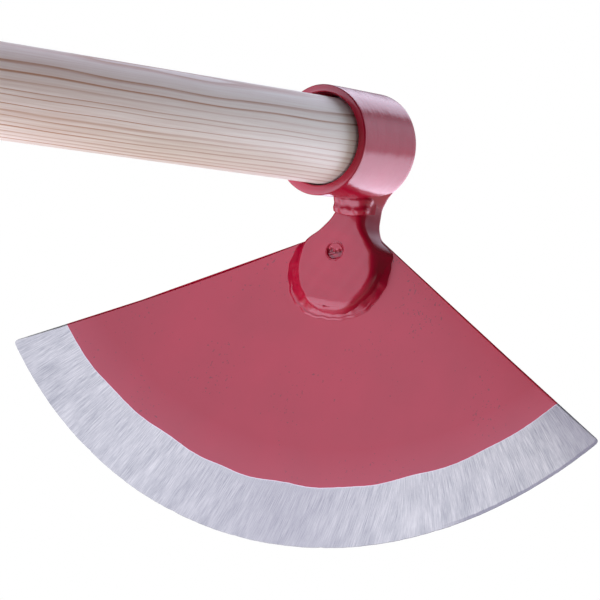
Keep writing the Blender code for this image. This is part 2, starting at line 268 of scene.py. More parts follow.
def makeRing(material):
    # a lathe profile, outside then inside, whose inner half turns about a slightly higher centre
    w = ringShape
    e, bore, rear, length = w["edge"], w["boreRadius"], w["rearRadius"], ringLength
    tail = bore - (w["closeDown"] - w["openUp"])
    quarter = np.radians(np.linspace(0, 90, 6))
    outside = [(e - e * math.cos(a), ringRadius - e + e * math.sin(a)) for a in quarter]
    outside += [(x, ringRadius + (rear - ringRadius) * x / length)
                for x in np.linspace(e, length - e, 26)[1:-1]]
    outside += [(length - e + e * math.sin(a), rear - e + e * math.cos(a)) for a in quarter]
    inside = [(length - e + e * math.cos(a), tail + e - e * math.sin(a)) for a in quarter]
    inside += [(x, bore - w["closeDown"] * smoothStep(x, 1.5, 9.0) + w["openUp"] * smoothStep(x, 24.0, 33.0))
               for x in np.linspace(length - e, e, 40)[1:-1]]
    inside += [(e - e * math.sin(a), bore + e - e * math.cos(a)) for a in quarter]
    profile = np.array(outside + inside)
    rise = np.where(np.arange(len(profile)) < len(outside), 0.0, w["boreRise"])
    rise = rise * (1 - 0.7 * smoothStep(profile[:, 0], 1.5, 9.0))
    a = np.linspace(0, 2 * math.pi, w["columns"], endpoint=False)[None, :]
    x, r = profile[:, :1], profile[:, 1:]
    # one shallow dent in the front rim, and a slow waver all round
    away = np.mod(a - w["dentTurn"] + math.pi, 2 * math.pi) - math.pi
    r = r - w["dent"] * np.exp(-(x / w["dentLength"]) ** 2) * np.exp(-(away / w["dentSpread"]) ** 2)
    r = r + w["waver"] * np.sin(3 * a + 0.15 * x) + w["ripple"] * np.sin(7 * a + 0.5)
    r = np.minimum(r, ringRadius)
    grid = np.stack([np.broadcast_to(x, r.shape), r * np.sin(a), rise[:, None] + r * np.cos(a)], -1)
    finishPiece(surface("eyeRing", grid, wrapRows=True), material, "gloss_enamel", "eye_ring")
    print("eye ring made")


neckShape = dict(padMiddle=22.5, topHeight=8.6, tipHeight=5.4, slopeStart=8.0, slopeEnd=36.0, leftRound=1.7,
                 rightRound=2.8, rightExtra=0.4, stations=230)
# fall of the pad's sloped plane for each mm towards its tip
padFall = ((neckShape["topHeight"] - neckShape["tipHeight"])
           / (neckShape["slopeEnd"] - neckShape["slopeStart"]))
# sections from inside the ring's wall down to the shoulder: front x, z, back x, z, then half widths to the
# left and right of the middle, first of the flat front and then of the foot, and how the wall bulges
neckTop = [(25.2, -17.6, 36.3, -16.4, 9.0, 8.8, 14.9, 14.9, 0.0),
           (25.2, -19.4, 36.3, -18.2, 8.6, 8.4, 13.5, 13.5, 0.0),
           (25.2, -21.0, 36.3, -20.3, 8.0, 7.9, 11.9, 12.0, 0.0),
           (25.3, -22.6, 36.4, -22.4, 7.5, 7.5, 10.6, 10.8, 0.05),
           (25.4, -24.4, 36.4, -24.8, 7.1, 7.1, 9.6, 9.9, 0.1),
           (25.6, -26.2, 36.5, -27.2, 6.9, 6.9, 9.2, 9.5, 0.15)]
# sections on over the pad: place down the blade, front height, back height, then the same widths and bulge
neckRows = [(-0.6, 8.6, -2.2, 7.0, 6.6, 9.1, 9.4, 0.2), (1.6, 8.6, -2.6, 7.7, 7.0, 9.4, 9.7, 0.2),
            (4.0, 8.6, -2.5, 8.9, 8.0, 10.6, 10.8, 0.1), (6.4, 8.6, -1.7, 10.6, 9.6, 13.0, 12.9, 0.1),
            (8.8, 8.5, -1.1, 12.6, 11.4, 16.4, 16.4, 0.1), (11.2, 8.2, -0.6, 15.2, 13.3, 20.6, 20.6, 0.1),
            (13.4, 8.0, -0.2, 17.2, 15.1, 23.4, 22.9, 0.05), (16.0, 7.7, 0.0, 18.6, 16.9, 24.0, 22.8, 0.0),
            (20.0, 7.2, 0.0, 19.2, 18.5, 23.9, 22.4, -0.1), (24.5, 6.7, 0.0, 19.0, 19.0, 23.2, 21.8, -0.15),
            (28.0, 6.3, 0.0, 18.2, 18.3, 22.0, 20.8, -0.15), (31.0, 6.0, 0.0, 16.9, 16.9, 20.4, 19.4, -0.15),
            (33.4, 5.7, 0.0, 15.0, 15.0, 18.4, 17.7, -0.1), (35.2, 5.5, 0.0, 13.4, 13.4, 16.7, 16.1, -0.1),
            (36.6, 5.3, 0.0, 12.3, 12.2, 15.2, 14.8, -0.1), (37.8, 4.9, 0.0, 11.0, 10.9, 13.7, 13.3, -0.1),
            (38.9, 4.3, 0.0, 9.4, 9.2, 12.1, 11.7, -0.1), (39.8, 3.6, 0.0, 7.7, 7.5, 10.6, 10.2, -0.1),
            (40.5, 2.9, 0.0, 6.0, 5.8, 9.1, 8.8, 0.0), (41.1, 2.1, 0.0, 4.3, 4.1, 7.5, 7.2, 0.1),
            (41.6, 1.2, 0.0, 2.7, 2.6, 5.6, 5.4, 0.1), (42.0, 0.3, 0.0, 0.9, 0.9, 3.2, 3.0, 0.2)]


def padHeight(s):
    # height of the flat front: level, then one plane that slopes towards the tip
    return neckShape["topHeight"] - padFall * max(0.0, s - neckShape["slopeStart"])


def neckSection(flat, foot, thick, bulge, border):
    # half a section as (distance from the middle, height): flat front, rounded border, wall, flat back
    r = min(border, flat * 0.5)
    q = np.linspace(0.0, 1.0, 15)
    wallU = flat + (foot - flat) * (q + bulge * q * (1 - q))
    wallH = thick * (1 - q)
    start = r / math.hypot(thick, foot - flat)
    k = np.linspace(0, 1, 6)
    firstU, firstH = np.interp(start, q, wallU), np.interp(start, q, wallH)
    cornerU = (flat - r) * (1 - k) ** 2 + 2 * flat * k * (1 - k) + firstU * k ** 2
    cornerH = thick * (1 - k) ** 2 + 2 * thick * k * (1 - k) + firstH * k ** 2
    rest = np.linspace(start, 0.96, 15)[1:]
    u = np.concatenate([np.linspace(0, flat - r, 41)[:-1], cornerU, np.interp(rest, q, wallU),
                        foot * np.array([0.99, 0.95, 0.6, 0.0])])
    h = np.concatenate([np.full(40, thick), cornerH, np.interp(rest, q, wallH),
                        thick * np.array([0.012, 0, 0, 0])])
    return u, h


def makeNeck(material):
    # sections carried down the neck and over the pad; the foot follows the blade's two side edges
    w = neckShape
    keys = [list(row) for row in neckTop]
    for s, top, back, *widths in neckRows:
        f, b = onBlade(s, 0, top), onBlade(s, 0, back)
        keys.append([f[0], f[2], b[0], b[2], *widths])
    sections = []
    for fx, fz, bx, bz, flatL, flatR, footL, footR, bulge in spline(keys, w["stations"]):
        thick = math.hypot(fx - bx, fz - bz)
        left = neckSection(flatL, footL, thick, bulge, w["leftRound"])
        right = neckSection(flatR + w["rightExtra"], footR, thick, bulge, w["rightRound"])
        u = np.concatenate([left[0][:-1], -right[0][:0:-1]])
        h = np.concatenate([left[1][:-1], right[1][:0:-1]])
        x, z = bx + (fx - bx) * h / thick, bz + (fz - bz) * h / thick
        sections.append(np.stack([x, u, z], -1))
    grid = np.array(sections)
    x, u, z = grid[..., 0], grid[..., 1], grid[..., 2]
    s, high = (grid - bladeTop) @ down, (grid - bladeTop) @ front
    lump = waves(u + 0.6 * z, 11, (19.0, 11.0, 7.3), 0.10) + waves(z - 0.3 * u, 12, (13.0, 7.1), 0.07)
    # the flat is sunk where the rivet's face sits
    apart = np.hypot((u - rivetShape["side"]) / rivetShape["widen"], s - rivetShape["place"])
    inHole = 1 - smoothStep(apart / rivetShape["radius"], 0.93, 1.0)
    lump = lump + rivetShape["sunk"] * inHole * (high > 3.0)
    side = waves(z, 13, (11.0, 7.3), 0.06) * np.clip(np.abs(u) - 6.0, 0, 3) / 3
    # the sides of the neck keep their forging scale under the paint and are painted darker as shade; the pad
    # and the front are ground
    forgedShaded = 1 - smoothStep(high, w["topHeight"] - 4.5, w["topHeight"] - 1.0)
    forgedShaded = forgedShaded * smoothStep(s, -8, -3) * (1 - smoothStep(s, 10, 15))
    grid = np.stack([x - lump * front[0], u + side, z - lump * front[2]], -1)
    thing = surface("neckForging", grid, layers=dict(forgedShadedSides=forgedShaded))
    finishPiece(thing, material, "gloss_enamel", "neck_forging")
    print("neck made")


# fillet weld round the pad's foot: inner and outer lines are flattened ellipses about the pad's middle
padWeldShape = dict(reach=116.0, outerLength=21.7, outerWidth=25.6, outerPower=2.2, innerLength=16.8,
                    innerWidth=16.8, outerShift=2.0, innerShift=0.6, wander=0.55, sideHeight=6.0,
                    tipHeight=3.9, hollow=1.1, lip=0.35, lipPlace=0.84, lipWidth=0.085, film=0.10,
                    buried=0.3)


def makePadWeld(material):
    # its face falls from the wall to the blade as a power of the distance, so it ends almost flat
    w = padWeldShape
    a = np.radians(np.linspace(-w["reach"], w["reach"], 300))
    power = 2 / w["outerPower"]
    c = np.sign(np.cos(a)) * np.abs(np.cos(a)) ** power
    d = np.sign(np.sin(a)) * np.abs(np.sin(a)) ** power
    arc = np.cumsum(np.hypot(np.gradient(25 * d), np.gradient(21 * c)))    # length along it, near enough
    wander = waves(arc, 22, (31.0, 13.7, 6.4), w["wander"])
    outS = neckShape["padMiddle"] + (w["outerLength"] + wander) * c
    outU = w["outerShift"] + (w["outerWidth"] + wander) * d
    # the outer line stops at the blade's side edges
    limit = math.tan(math.radians(bladeShape["halfAngle"])) * outS - 0.5
    outU = np.sign(outU) * np.minimum(np.abs(outU), limit)
    inS = neckShape["padMiddle"] + w["innerLength"] * c
    inU = w["innerShift"] + w["innerWidth"] * d
    tall = w["sideHeight"] + (w["tipHeight"] - w["sideHeight"]) * np.clip(np.cos(a), 0, 1) ** 2
    tall = tall * (1 + waves(arc, 21, (19.0, 7.3, 3.9), 0.07))
    q = np.linspace(0, 1, 40)[None, :]
    gs = inS[:, None] * (1 - q) + outS[:, None] * q
    gu = inU[:, None] * (1 - q) + outU[:, None] * q
    # its outer line ends in a low rounded lip under the tip
    under = np.clip(np.cos(a), 0, 1)[:, None]
    lip = w["lip"] * under * np.exp(-((q - w["lipPlace"]) / w["lipWidth"]) ** 2)
    gh = tall[:, None] * (1 - q) ** (1 + w["hollow"] * under) + w["film"] * q + lip
    gs = np.hstack([gs, outS[:, None], inS[:, None]])
    gu = np.hstack([gu, outU[:, None], inU[:, None]])
    gh = np.hstack([gh, np.full((len(a), 2), -w["buried"])])
    thing = surface("padWeld", onBlade(gs, gu, dish(gs, gu) + gh), sharp=60)
    finishPiece(thing, material, "gloss_enamel", "pad_weld")
    print("pad weld made")


# two weld runs one under the other, laid along this line of (x, y) round the neck's front and sides
eyeWeldShape = dict(path=[(28.4, 8.6), (26.9, 8.2), (25.7, 7.5), (25.3, 6.2), (25.2, 4.0), (25.2, 0.0),
                          (25.2, -4.2), (25.3, -6.0), (25.9, -7.4), (27.4, -8.3), (29.4, -9.0), (31.8, -9.7)],
                    middle=-25.1, spread=2.1, topHalfHeight=2.0, lowHalfHeight=1.5, proud=1.0, halfHeight=4.0,
                    buried=1.6, sunk=0.25, climb=0.75)


def makeEyeWeld(material):
    # the section is a slab let into the neck whose outer face carries two bumps; both wander in size
    w = eyeWeldShape
    path = spline(w["path"], 260)
    step = np.gradient(path, axis=0)
    step /= np.linalg.norm(step, axis=1, keepdims=True)
    out = np.stack([step[:, 1], -step[:, 0]], 1)
    out *= -np.sign(out[len(path) // 2, 0])
    length = np.concatenate([[0], np.cumsum(np.linalg.norm(np.diff(path, axis=0), axis=1))])
    total = length[-1]
    sag = ringRadius - np.sqrt(ringRadius ** 2 - path[:, 1] ** 2)
    a = np.linspace(0, 2 * math.pi, 60, endpoint=False)[None, :]
    vertical = w["halfHeight"] * np.sign(np.sin(a)) * np.abs(np.sin(a)) ** 0.8
    fadeTop = (smoothStep(length, 0, 4.0) * smoothStep(total - length, 0.2, 3.6))[:, None]
    fadeLow = (smoothStep(length, 1.0, 5.0) * smoothStep(total - length, 2.0, 6.0))[:, None]
    topSize = (1 + waves(length, 31, (9.1, 6.1, 4.3), 0.20))[:, None] * fadeTop
    lowSize = (1 + waves(length, 32, (8.3, 5.7, 3.9), 0.25))[:, None] * fadeLow
    drift = waves(length, 33, (13.1, 6.7, 4.3), 0.45)[:, None]
    bump = topSize * np.exp(-((vertical - w["spread"] - drift) / w["topHalfHeight"]) ** 2)
    bump = bump + lowSize * np.exp(-((vertical + w["spread"] - 0.7 * drift) / w["lowHalfHeight"]) ** 2)
    face = np.clip(np.cos(a) * 3, -1, 1)
    outward = np.where(face > 0, w["proud"] * bump * face, w["buried"] * face) - w["sunk"]
    x = path[:, :1] + out[:, :1] * outward
    y = path[:, 1:] + out[:, 1:] * outward
    z = w["middle"] + w["climb"] * sag[:, None] + vertical + 0 * outward
    thing = surface("eyeWeld", np.stack([x, y, z], -1))
    finishPiece(thing, material, "gloss_enamel", "eye_weld")
    print("eye weld made")


# the face's rings are shares of its radius and how far each stands above the pad
rivetShape = dict(place=16.3, side=1.6, radius=3.75, widen=1.14, sunk=1.6, headRadius=7.0, headHeight=2.4,
                  gouge=1.1, groove=0.45, groovePlace=0.91, grooveWidth=0.035,
                  faceRadii=[0.06, 0.15, 0.25, 0.35, 0.45, 0.55, 0.65, 0.74, 0.82, 0.86, 0.89, 0.93, 0.96,
                             1.02, 1.05],
                  faceLift=[0.0] * 12 + [0.06, 0.10, -0.02])


def makeRivet(material):
    # a pin set flush in the pad: a groove round its face, a torn hollow in the lower half, a low dome behind
    w = rivetShape
    top, back = padHeight(w["place"]), -bladeShape["thickness"]
    radii = [c * w["radius"] for c in w["faceRadii"]] + [w["radius"]]
    radii += [w["headRadius"] * c for c in (1.0, 1.0, 0.97, 0.88, 0.74, 0.55, 0.32, 0.12)]
    heights = [top + h for h in w["faceLift"]] + [back]
    heights += [back - w["headHeight"] * f for f in (0.0, 0.2, 0.4, 0.62, 0.8, 0.92, 0.98, 1.0)]
    a = np.linspace(0, 2 * math.pi, 96, endpoint=False)[None, :]
    r = np.array(radii)[:, None] + 0 * a
    ds, du = r * np.cos(a), r * np.sin(a)
    isFace = (np.arange(len(radii)) < len(w["faceRadii"]))[:, None]
    h = np.array(heights)[:, None] - np.where(isFace, padFall * ds, 0.0)
    # the groove is deep over the top half only; the hollow's floor climbs back towards its lower edge
    reach = r / w["radius"]
    groove = w["groove"] * np.exp(-((reach - w["groovePlace"]) / w["grooveWidth"]) ** 2)
    groove = groove * smoothStep(ds, 1.2, -0.6)
    brow = ds + waves(du, 42, (4.3, 1.9), 0.8)
    torn = smoothStep(brow, -0.9, 0.3) * smoothStep(reach, 1.0, 0.86)
    ridges = waves(ds - 0.45 * du, 41, (1.9, 1.2), 0.10)
    hollow = groove + (w["gouge"] * (1 - 0.9 * np.clip(ds / w["radius"], 0, 1)) + ridges) * torn
    h = h - np.where(isFace, hollow, 0.0)
    stretch = np.where(isFace, w["widen"], 1.0)
    grid = onBlade(w["place"] + ds, w["side"] + du * stretch, h)
    thing = surface("padRivet", grid, layers=dict(torn=np.where(isFace, torn, 0.0)))
    finishPiece(thing, material, "gloss_enamel", "pad_rivet")
    print("rivet made")


handleShape = dict(radius=18.0, spread=0.4, buttRound=6.0, waver=0.04, ripple=0.02, columns=150)


def makeHandle(material):
    # a turned bar with a slow waver, a rounded butt and a small chamfer at the head end
    w = handleShape
    radius, butt = w["radius"], ringLength - handleLength
    quarter = np.radians(np.linspace(0, 90, 9))
    profile = [(butt + w["buttRound"] * (1 - math.sin(a)), radius - w["buttRound"] * (1 - math.cos(a)))
               for a in quarter[::-1]]
    profile += [(x, radius) for x in np.linspace(butt + 8, 6, 150)]
    profile += [(x, radius + w["spread"] * smoothStep(x, 8, ringLength))
                for x in np.linspace(8, ringLength - 1.2, 12)]
    profile += [(ringLength - 0.5, radius - 0.1), (ringLength - 0.2, radius - 0.8)]
    profile = np.array(profile)
    a = np.linspace(0, 2 * math.pi, w["columns"], endpoint=False)[None, :]
    x, r = profile[:, :1], profile[:, 1:]
    r = r - w["waver"] * (1 + np.sin(2 * a + x / 160)) - w["ripple"] * (1 + np.sin(5 * a - x / 75))
    grid = np.stack([np.broadcast_to(x, r.shape), r * np.sin(a), r * np.cos(a)], -1)
    finishPiece(surface("handleBar", grid, sharp=40), material, "bare_handle", "handle")
    print("handle made")


# square is the power that squares a circle up into the wedge's section
wedgeShape = dict(length=30.0, thick=4.6, thin=1.6, width=34.0, square=0.12, endEase=0.93, columns=64)


def makeWedge(material):
    # a circle squared up by a power and flattened, its thickness growing evenly to the end that lies flush
    # with the handle's own
    w = wedgeShape
    x = np.concatenate([[0.0, 0.01], np.linspace(0, 1, 12)[1:-1], [0.995, 1.0]])[:, None]
    a = np.linspace(0, 2 * math.pi, w["columns"], endpoint=False)[None, :]
    y = np.sign(np.cos(a)) * np.abs(np.cos(a)) ** w["square"] * w["width"] / 2
    z = np.sign(np.sin(a)) * np.abs(np.sin(a)) ** w["square"]
    thick = w["thin"] + (w["thick"] - w["thin"]) * x
    soft = np.where((x < 0.005) | (x > 0.999), w["endEase"], 1.0)
    grid = np.stack([ringLength - w["length"] * (1 - x) + 0 * a, soft * y, soft * thick / 2 * z], -1)
    finishPiece(surface("handleWedge", grid, sharp=40), material, "wedge_wood", "handle_wedge")
    print("wedge made")


# noise scales are per metre: 45 gives patches of tone about 22 mm across, 170 waves in the gloss of 6 mm
# the darker red over the forging scale is painted shade on the neck's sides
enamelLook = dict(deep="#A40B2B", light="#AE1030", sideShade="#5E081C", undercoat="#74091F", shadeShare=0.45,
                  scaleRoughness=0.5, patches=45.0, waves=170.0, waveHeight=0.0008)


def enamel(name, roughness, peel, scarred=False, turned=0.0):
    # alkyd enamel sprayed thick on hot-forged steel: a deep red under a clear, slightly wavy gloss
    w = enamelLook
    material, tree = newMaterial(name)
    place = put(tree, "TexCoord").outputs["Object"]
    cloud = put(tree, "TexNoise", dict(Vector=place, Scale=w["patches"], Detail=3.0,
                                       Roughness=0.5)).outputs["Fac"]
    tone = put(tree, "ValToRGB", dict(Fac=cloud),
               stops=((0.3, linear(w["deep"])), (0.7, linear(w["light"])))).outputs["Color"]
    # thin paint over forging scale is darker and duller
    # the neck's sides are painted a darker red as shade, and their gloss is duller for the thin paint over
    # forging scale
    forgedShaded = put(tree, "Attribute", attribute_name="forgedShadedSides").outputs["Fac"]
    thin = put(tree, "Math", {0: forgedShaded, 1: w["shadeShare"]}, operation="MULTIPLY").outputs[0]
    tone = put(tree, "Mix", {0: thin, 6: tone, 7: linear(w["sideShade"])}, data_type="RGBA").outputs[2]
    gloss = put(tree, "MapRange", {"Value": forgedShaded, "To Min": roughness,
                                   "To Max": w["scaleRoughness"]}).outputs["Result"]
    if scarred:
        # slanting scars 1 to 8 mm across, where a tool has torn the paint down to its dark undercoat
        torn = put(tree, "Attribute", attribute_name="torn").outputs["Fac"]
        slant = put(tree, "Mapping", {"Vector": place, "Rotation": (math.radians(24), 0.0, 0.0),
                                      "Scale": (120.0, 260.0, 1100.0)}).outputs[0]
        scars = put(tree, "TexNoise", dict(Vector=slant, Scale=1.0, Detail=2.0)).outputs["Fac"]
        scars = put(tree, "MapRange", {"Value": scars, "From Min": 0.38, "From Max": 0.56}).outputs["Result"]
        bare = put(tree, "Math", {0: torn, 1: scars}, operation="MULTIPLY").outputs[0]
        tone = put(tree, "Mix", {0: bare, 6: tone, 7: linear(w["undercoat"])}, data_type="RGBA").outputs[2]
    wave = put(tree, "TexNoise", dict(Vector=place, Scale=w["waves"], Detail=2.0,
                                      Roughness=0.45)).outputs["Fac"]
    if turned:
        # faint tool marks round the outside, 1.6 mm apart, left by turning before it was painted
        lathe = put(tree, "Mapping", {"Vector": place, "Scale": (620.0, 45.0, 45.0)}).outputs[0]
        marks = put(tree, "TexNoise", dict(Vector=lathe, Scale=1.0, Detail=3.0, Roughness=0.6)).outputs["Fac"]
        wave = put(tree, "Math", {0: marks, 1: turned, 2: wave}, operation="MULTIPLY_ADD").outputs[0]
    bump = put(tree, "Bump", dict(Height=wave, Strength=peel, Distance=w["waveHeight"])).outputs["Normal"]
    shader = put(tree, "BsdfPrincipled", {"Base Color": tone, "Roughness": gloss, "IOR": 1.5, "Normal": bump})
    put(tree, "OutputMaterial", dict(Surface=shader.outputs["BSDF"]))
    return material


# enamel: 30 and 26 per metre are patches and drifts about 35 mm across, 820 a pinhole of about 1 mm, which
# is coarser than a real one so that it shows; steel: the strokes' noise is per mm, across and along them
bladeLook = dict(deep="#AB0C2D", light="#B51032", pinhole="#5A0A20", dust="#D9A6B2", scratch="#8F9293",
                 polish="#CECFC8", rim="#77767E", edgeShade="#86868C", scaled="#7E7C84", burnished="#D9D8DD",
                 patches=30.0, pinholes=820.0, drifts=26.0, ragged=0.16, otherLean=-0.16,
                 fineStrokes=(2.7, 0.09, 1.0), broadStrokes=(0.16, 0.06, 1.0), pinholeShare=0.7,
                 enamelRoughness=0.24, steelRoughness=0.46, scratchStrength=0.35, scratchHeight=0.0002)
# what changes along the cutting edge: from and to, in mm of arc, and its value at each of the two
alongEdge = dict(lean=(-72.0, 94.0, -0.48, 0.17), upright=(-80.0, -68.0, 0.0, 1.0),
                 edgeShade=(-85.0, -100.0, 0.0, 0.8), scaled=(-135.0, -152.0, 0.0, 0.55),
                 darkerAlong=(75.0, 0.0, 0.0, 0.3), fresh=(-70.0, -20.0, 0.0, 1.0))


def bladeFinish():
    # the same enamel, ground away along the cutting edge to bright, cross-brushed spring steel
    w = bladeLook
    material, tree = newMaterial("enamelAndGroundSteel")
    place = put(tree, "TexCoord").outputs["Object"]
    depth = put(tree, "Attribute", attribute_name="bandDepth").outputs["Fac"]
    grind = put(tree, "Attribute", attribute_name="grindPlace").outputs["Vector"]
    ragged = put(tree, "TexNoise", dict(Vector=grind, Scale=w["ragged"], Detail=4.0,
                                        Roughness=0.6)).outputs["Fac"]
    shift = put(tree, "Math", {0: ragged, 1: 0.5, 2: -0.25}, operation="MULTIPLY_ADD").outputs[0]
    edge = put(tree, "Math", {0: depth, 1: shift}, operation="ADD").outputs[0]
    bare = put(tree, "MapRange", {"Value": edge, "From Min": -0.12, "From Max": 0.12}).outputs["Result"]

    # enamel, with fine dark pinholes gathered in drifts
    cloud = put(tree, "TexNoise", dict(Vector=place, Scale=w["patches"], Detail=3.0)).outputs["Fac"]
    red = put(tree, "ValToRGB", dict(Fac=cloud),
              stops=((0.3, linear(w["deep"])), (0.7, linear(w["light"])))).outputs["Color"]
    dots = put(tree, "TexNoise", dict(Vector=place, Scale=w["pinholes"], Detail=1.0,
                                      Roughness=0.5)).outputs["Fac"]
    drift = put(tree, "TexNoise", dict(Vector=place, Scale=w["drifts"], Detail=2.0)).outputs["Fac"]
    room = put(tree, "MapRange", {"Value": drift, "From Min": 0.35, "From Max": 0.75, "To Min": 0.82,
                                  "To Max": 0.615}).outputs["Result"]
    pit = put(tree, "Math", {0: dots, 1: room}, operation="GREATER_THAN").outputs[0]
    pitted = put(tree, "Math", {0: pit, 1: w["pinholeShare"]}, operation="MULTIPLY").outputs[0]
    # grinding dust has dulled a strip beside the bare steel
    dust = put(tree, "MapRange", {"Value": depth, "From Min": -16.0, "From Max": 0.0,
                                  "To Max": 0.07}).outputs["Result"]
    for share, colour in ((pitted, "pinhole"), (dust, "dust")):
        red = put(tree, "Mix", {0: share, 6: red, 7: linear(w[colour])}, data_type="RGBA").outputs[2]

    # grinding scratches: noise stretched along a stroke that leans less towards one end of the edge
    parts = put(tree, "SeparateXYZ", dict(Vector=grind)).outputs
    zone = {}
    for key, (start, end, least, most) in alongEdge.items():
        zone[key] = put(tree, "MapRange", {"Value": parts["X"], "From Min": start, "From Max": end,
                                           "To Min": least, "To Max": most}).outputs["Result"]
    lean = put(tree, "Mix", {0: zone["upright"], 2: w["otherLean"], 3: zone["lean"]}).outputs[0]
    radial = put(tree, "Math", {0: parts["Y"], 1: -150.0}, operation="ADD").outputs[0]
    along = put(tree, "Math", {0: lean, 1: radial, 2: parts["X"]}, operation="MULTIPLY_ADD").outputs[0]
    stroke = put(tree, "CombineXYZ", dict(X=along, Y=radial, Z=parts["Z"])).outputs[0]
    streaks = []
    for scale, grit in ((w["fineStrokes"], 0.80), (w["broadStrokes"], 0.55)):
        stretched = put(tree, "Mapping", {"Vector": stroke, "Scale": scale}).outputs[0]
        streaks.append(put(tree, "TexNoise", dict(Vector=stretched, Scale=1.0, Detail=3.0,
                                                  Roughness=grit)).outputs["Fac"])
    # the strokes bite where they start and fade to a smooth polish towards the cutting edge
    bite = put(tree, "MapRange", {"Value": depth, "From Min": 4.0, "From Max": 20.0, "To Min": 0.92,
                                  "To Max": 0.66}).outputs["Result"]
    streak = put(tree, "Mix", {0: bite, 2: streaks[1], 3: streaks[0]}).outputs[0]
    steel = put(tree, "ValToRGB", dict(Fac=streak),
                stops=((0.33, linear(w["scratch"])), (0.66, linear(w["polish"])))).outputs["Color"]
    # the cut edge's face is painted a darker grey, as shade
    rim = put(tree, "MapRange", {"Value": parts["Z"], "From Min": 0.15, "From Max": 0.4}).outputs["Result"]
    # a narrow grey band along one end of the cutting edge is painted shade
    gap = put(tree, "Attribute", attribute_name="edgeGap").outputs["Fac"]
    wander = put(tree, "Math", {0: ragged, 1: 1.6, 2: gap}, operation="MULTIPLY_ADD").outputs[0]
    edgeShade = put(tree, "MapRange", {"Value": wander, "From Min": 2.3, "From Max": 2.0}).outputs["Result"]
    edgeShade = put(tree, "Math", {0: edgeShade, 1: zone["edgeShade"]}, operation="MULTIPLY").outputs[0]
    # scaled, darker metal at the end past the painted shade band, and a little of it in the worn middle
    middle = put(tree, "Math", {0: zone["darkerAlong"], 1: zone["fresh"]}, operation="MULTIPLY").outputs[0]
    # a narrow burnished line where the grinding starts
    line = put(tree, "MapRange", {"Value": edge, "From Min": 0.28, "From Max": 0.12}).outputs["Result"]
    for share, colour in ((rim, "rim"), (edgeShade, "edgeShade"), (zone["scaled"], "scaled"), (middle, "scaled"),
                          (line, "burnished")):
        steel = put(tree, "Mix", {0: share, 6: steel, 7: linear(w[colour])}, data_type="RGBA").outputs[2]

    colour = put(tree, "Mix", {0: bare, 6: red, 7: steel}, data_type="RGBA").outputs[2]
    rough = put(tree, "MapRange", {"Value": bare, "To Min": w["enamelRoughness"],
                                   "To Max": w["steelRoughness"]}).outputs["Result"]
    height = put(tree, "Math", {0: streak, 1: bare}, operation="MULTIPLY").outputs[0]
    bump = put(tree, "Bump", dict(Height=height, Strength=w["scratchStrength"],
                                  Distance=w["scratchHeight"])).outputs["Normal"]
    shader = put(tree, "BsdfPrincipled", {"Base Color": colour, "Metallic": bare, "Roughness": rough,
                                          "IOR": 1.5, "Normal": bump})
    put(tree, "OutputMaterial", dict(Surface=shader.outputs["BSDF"]))
    return material


# pith is where the growth rings' centre lies, in metres across and above; bend is how far they stray, and
# their spacing varies over about 3 mm; the fibres are 1 mm wide and 45 mm long, coarser than real ones so
# that they show
woodLook = dict(pithAcross=0.024, pithAbove=0.10, bend=0.007, bendScale=(5.0, 14.0, 14.0), unevenYears=330.0,
                fibreScale=(22.0, 1100.0, 1100.0), lineShare=0.62, grainShare=0.50, offset=-0.13,
                roughness=0.5, grainStrength=0.2, grainHeight=0.0003)


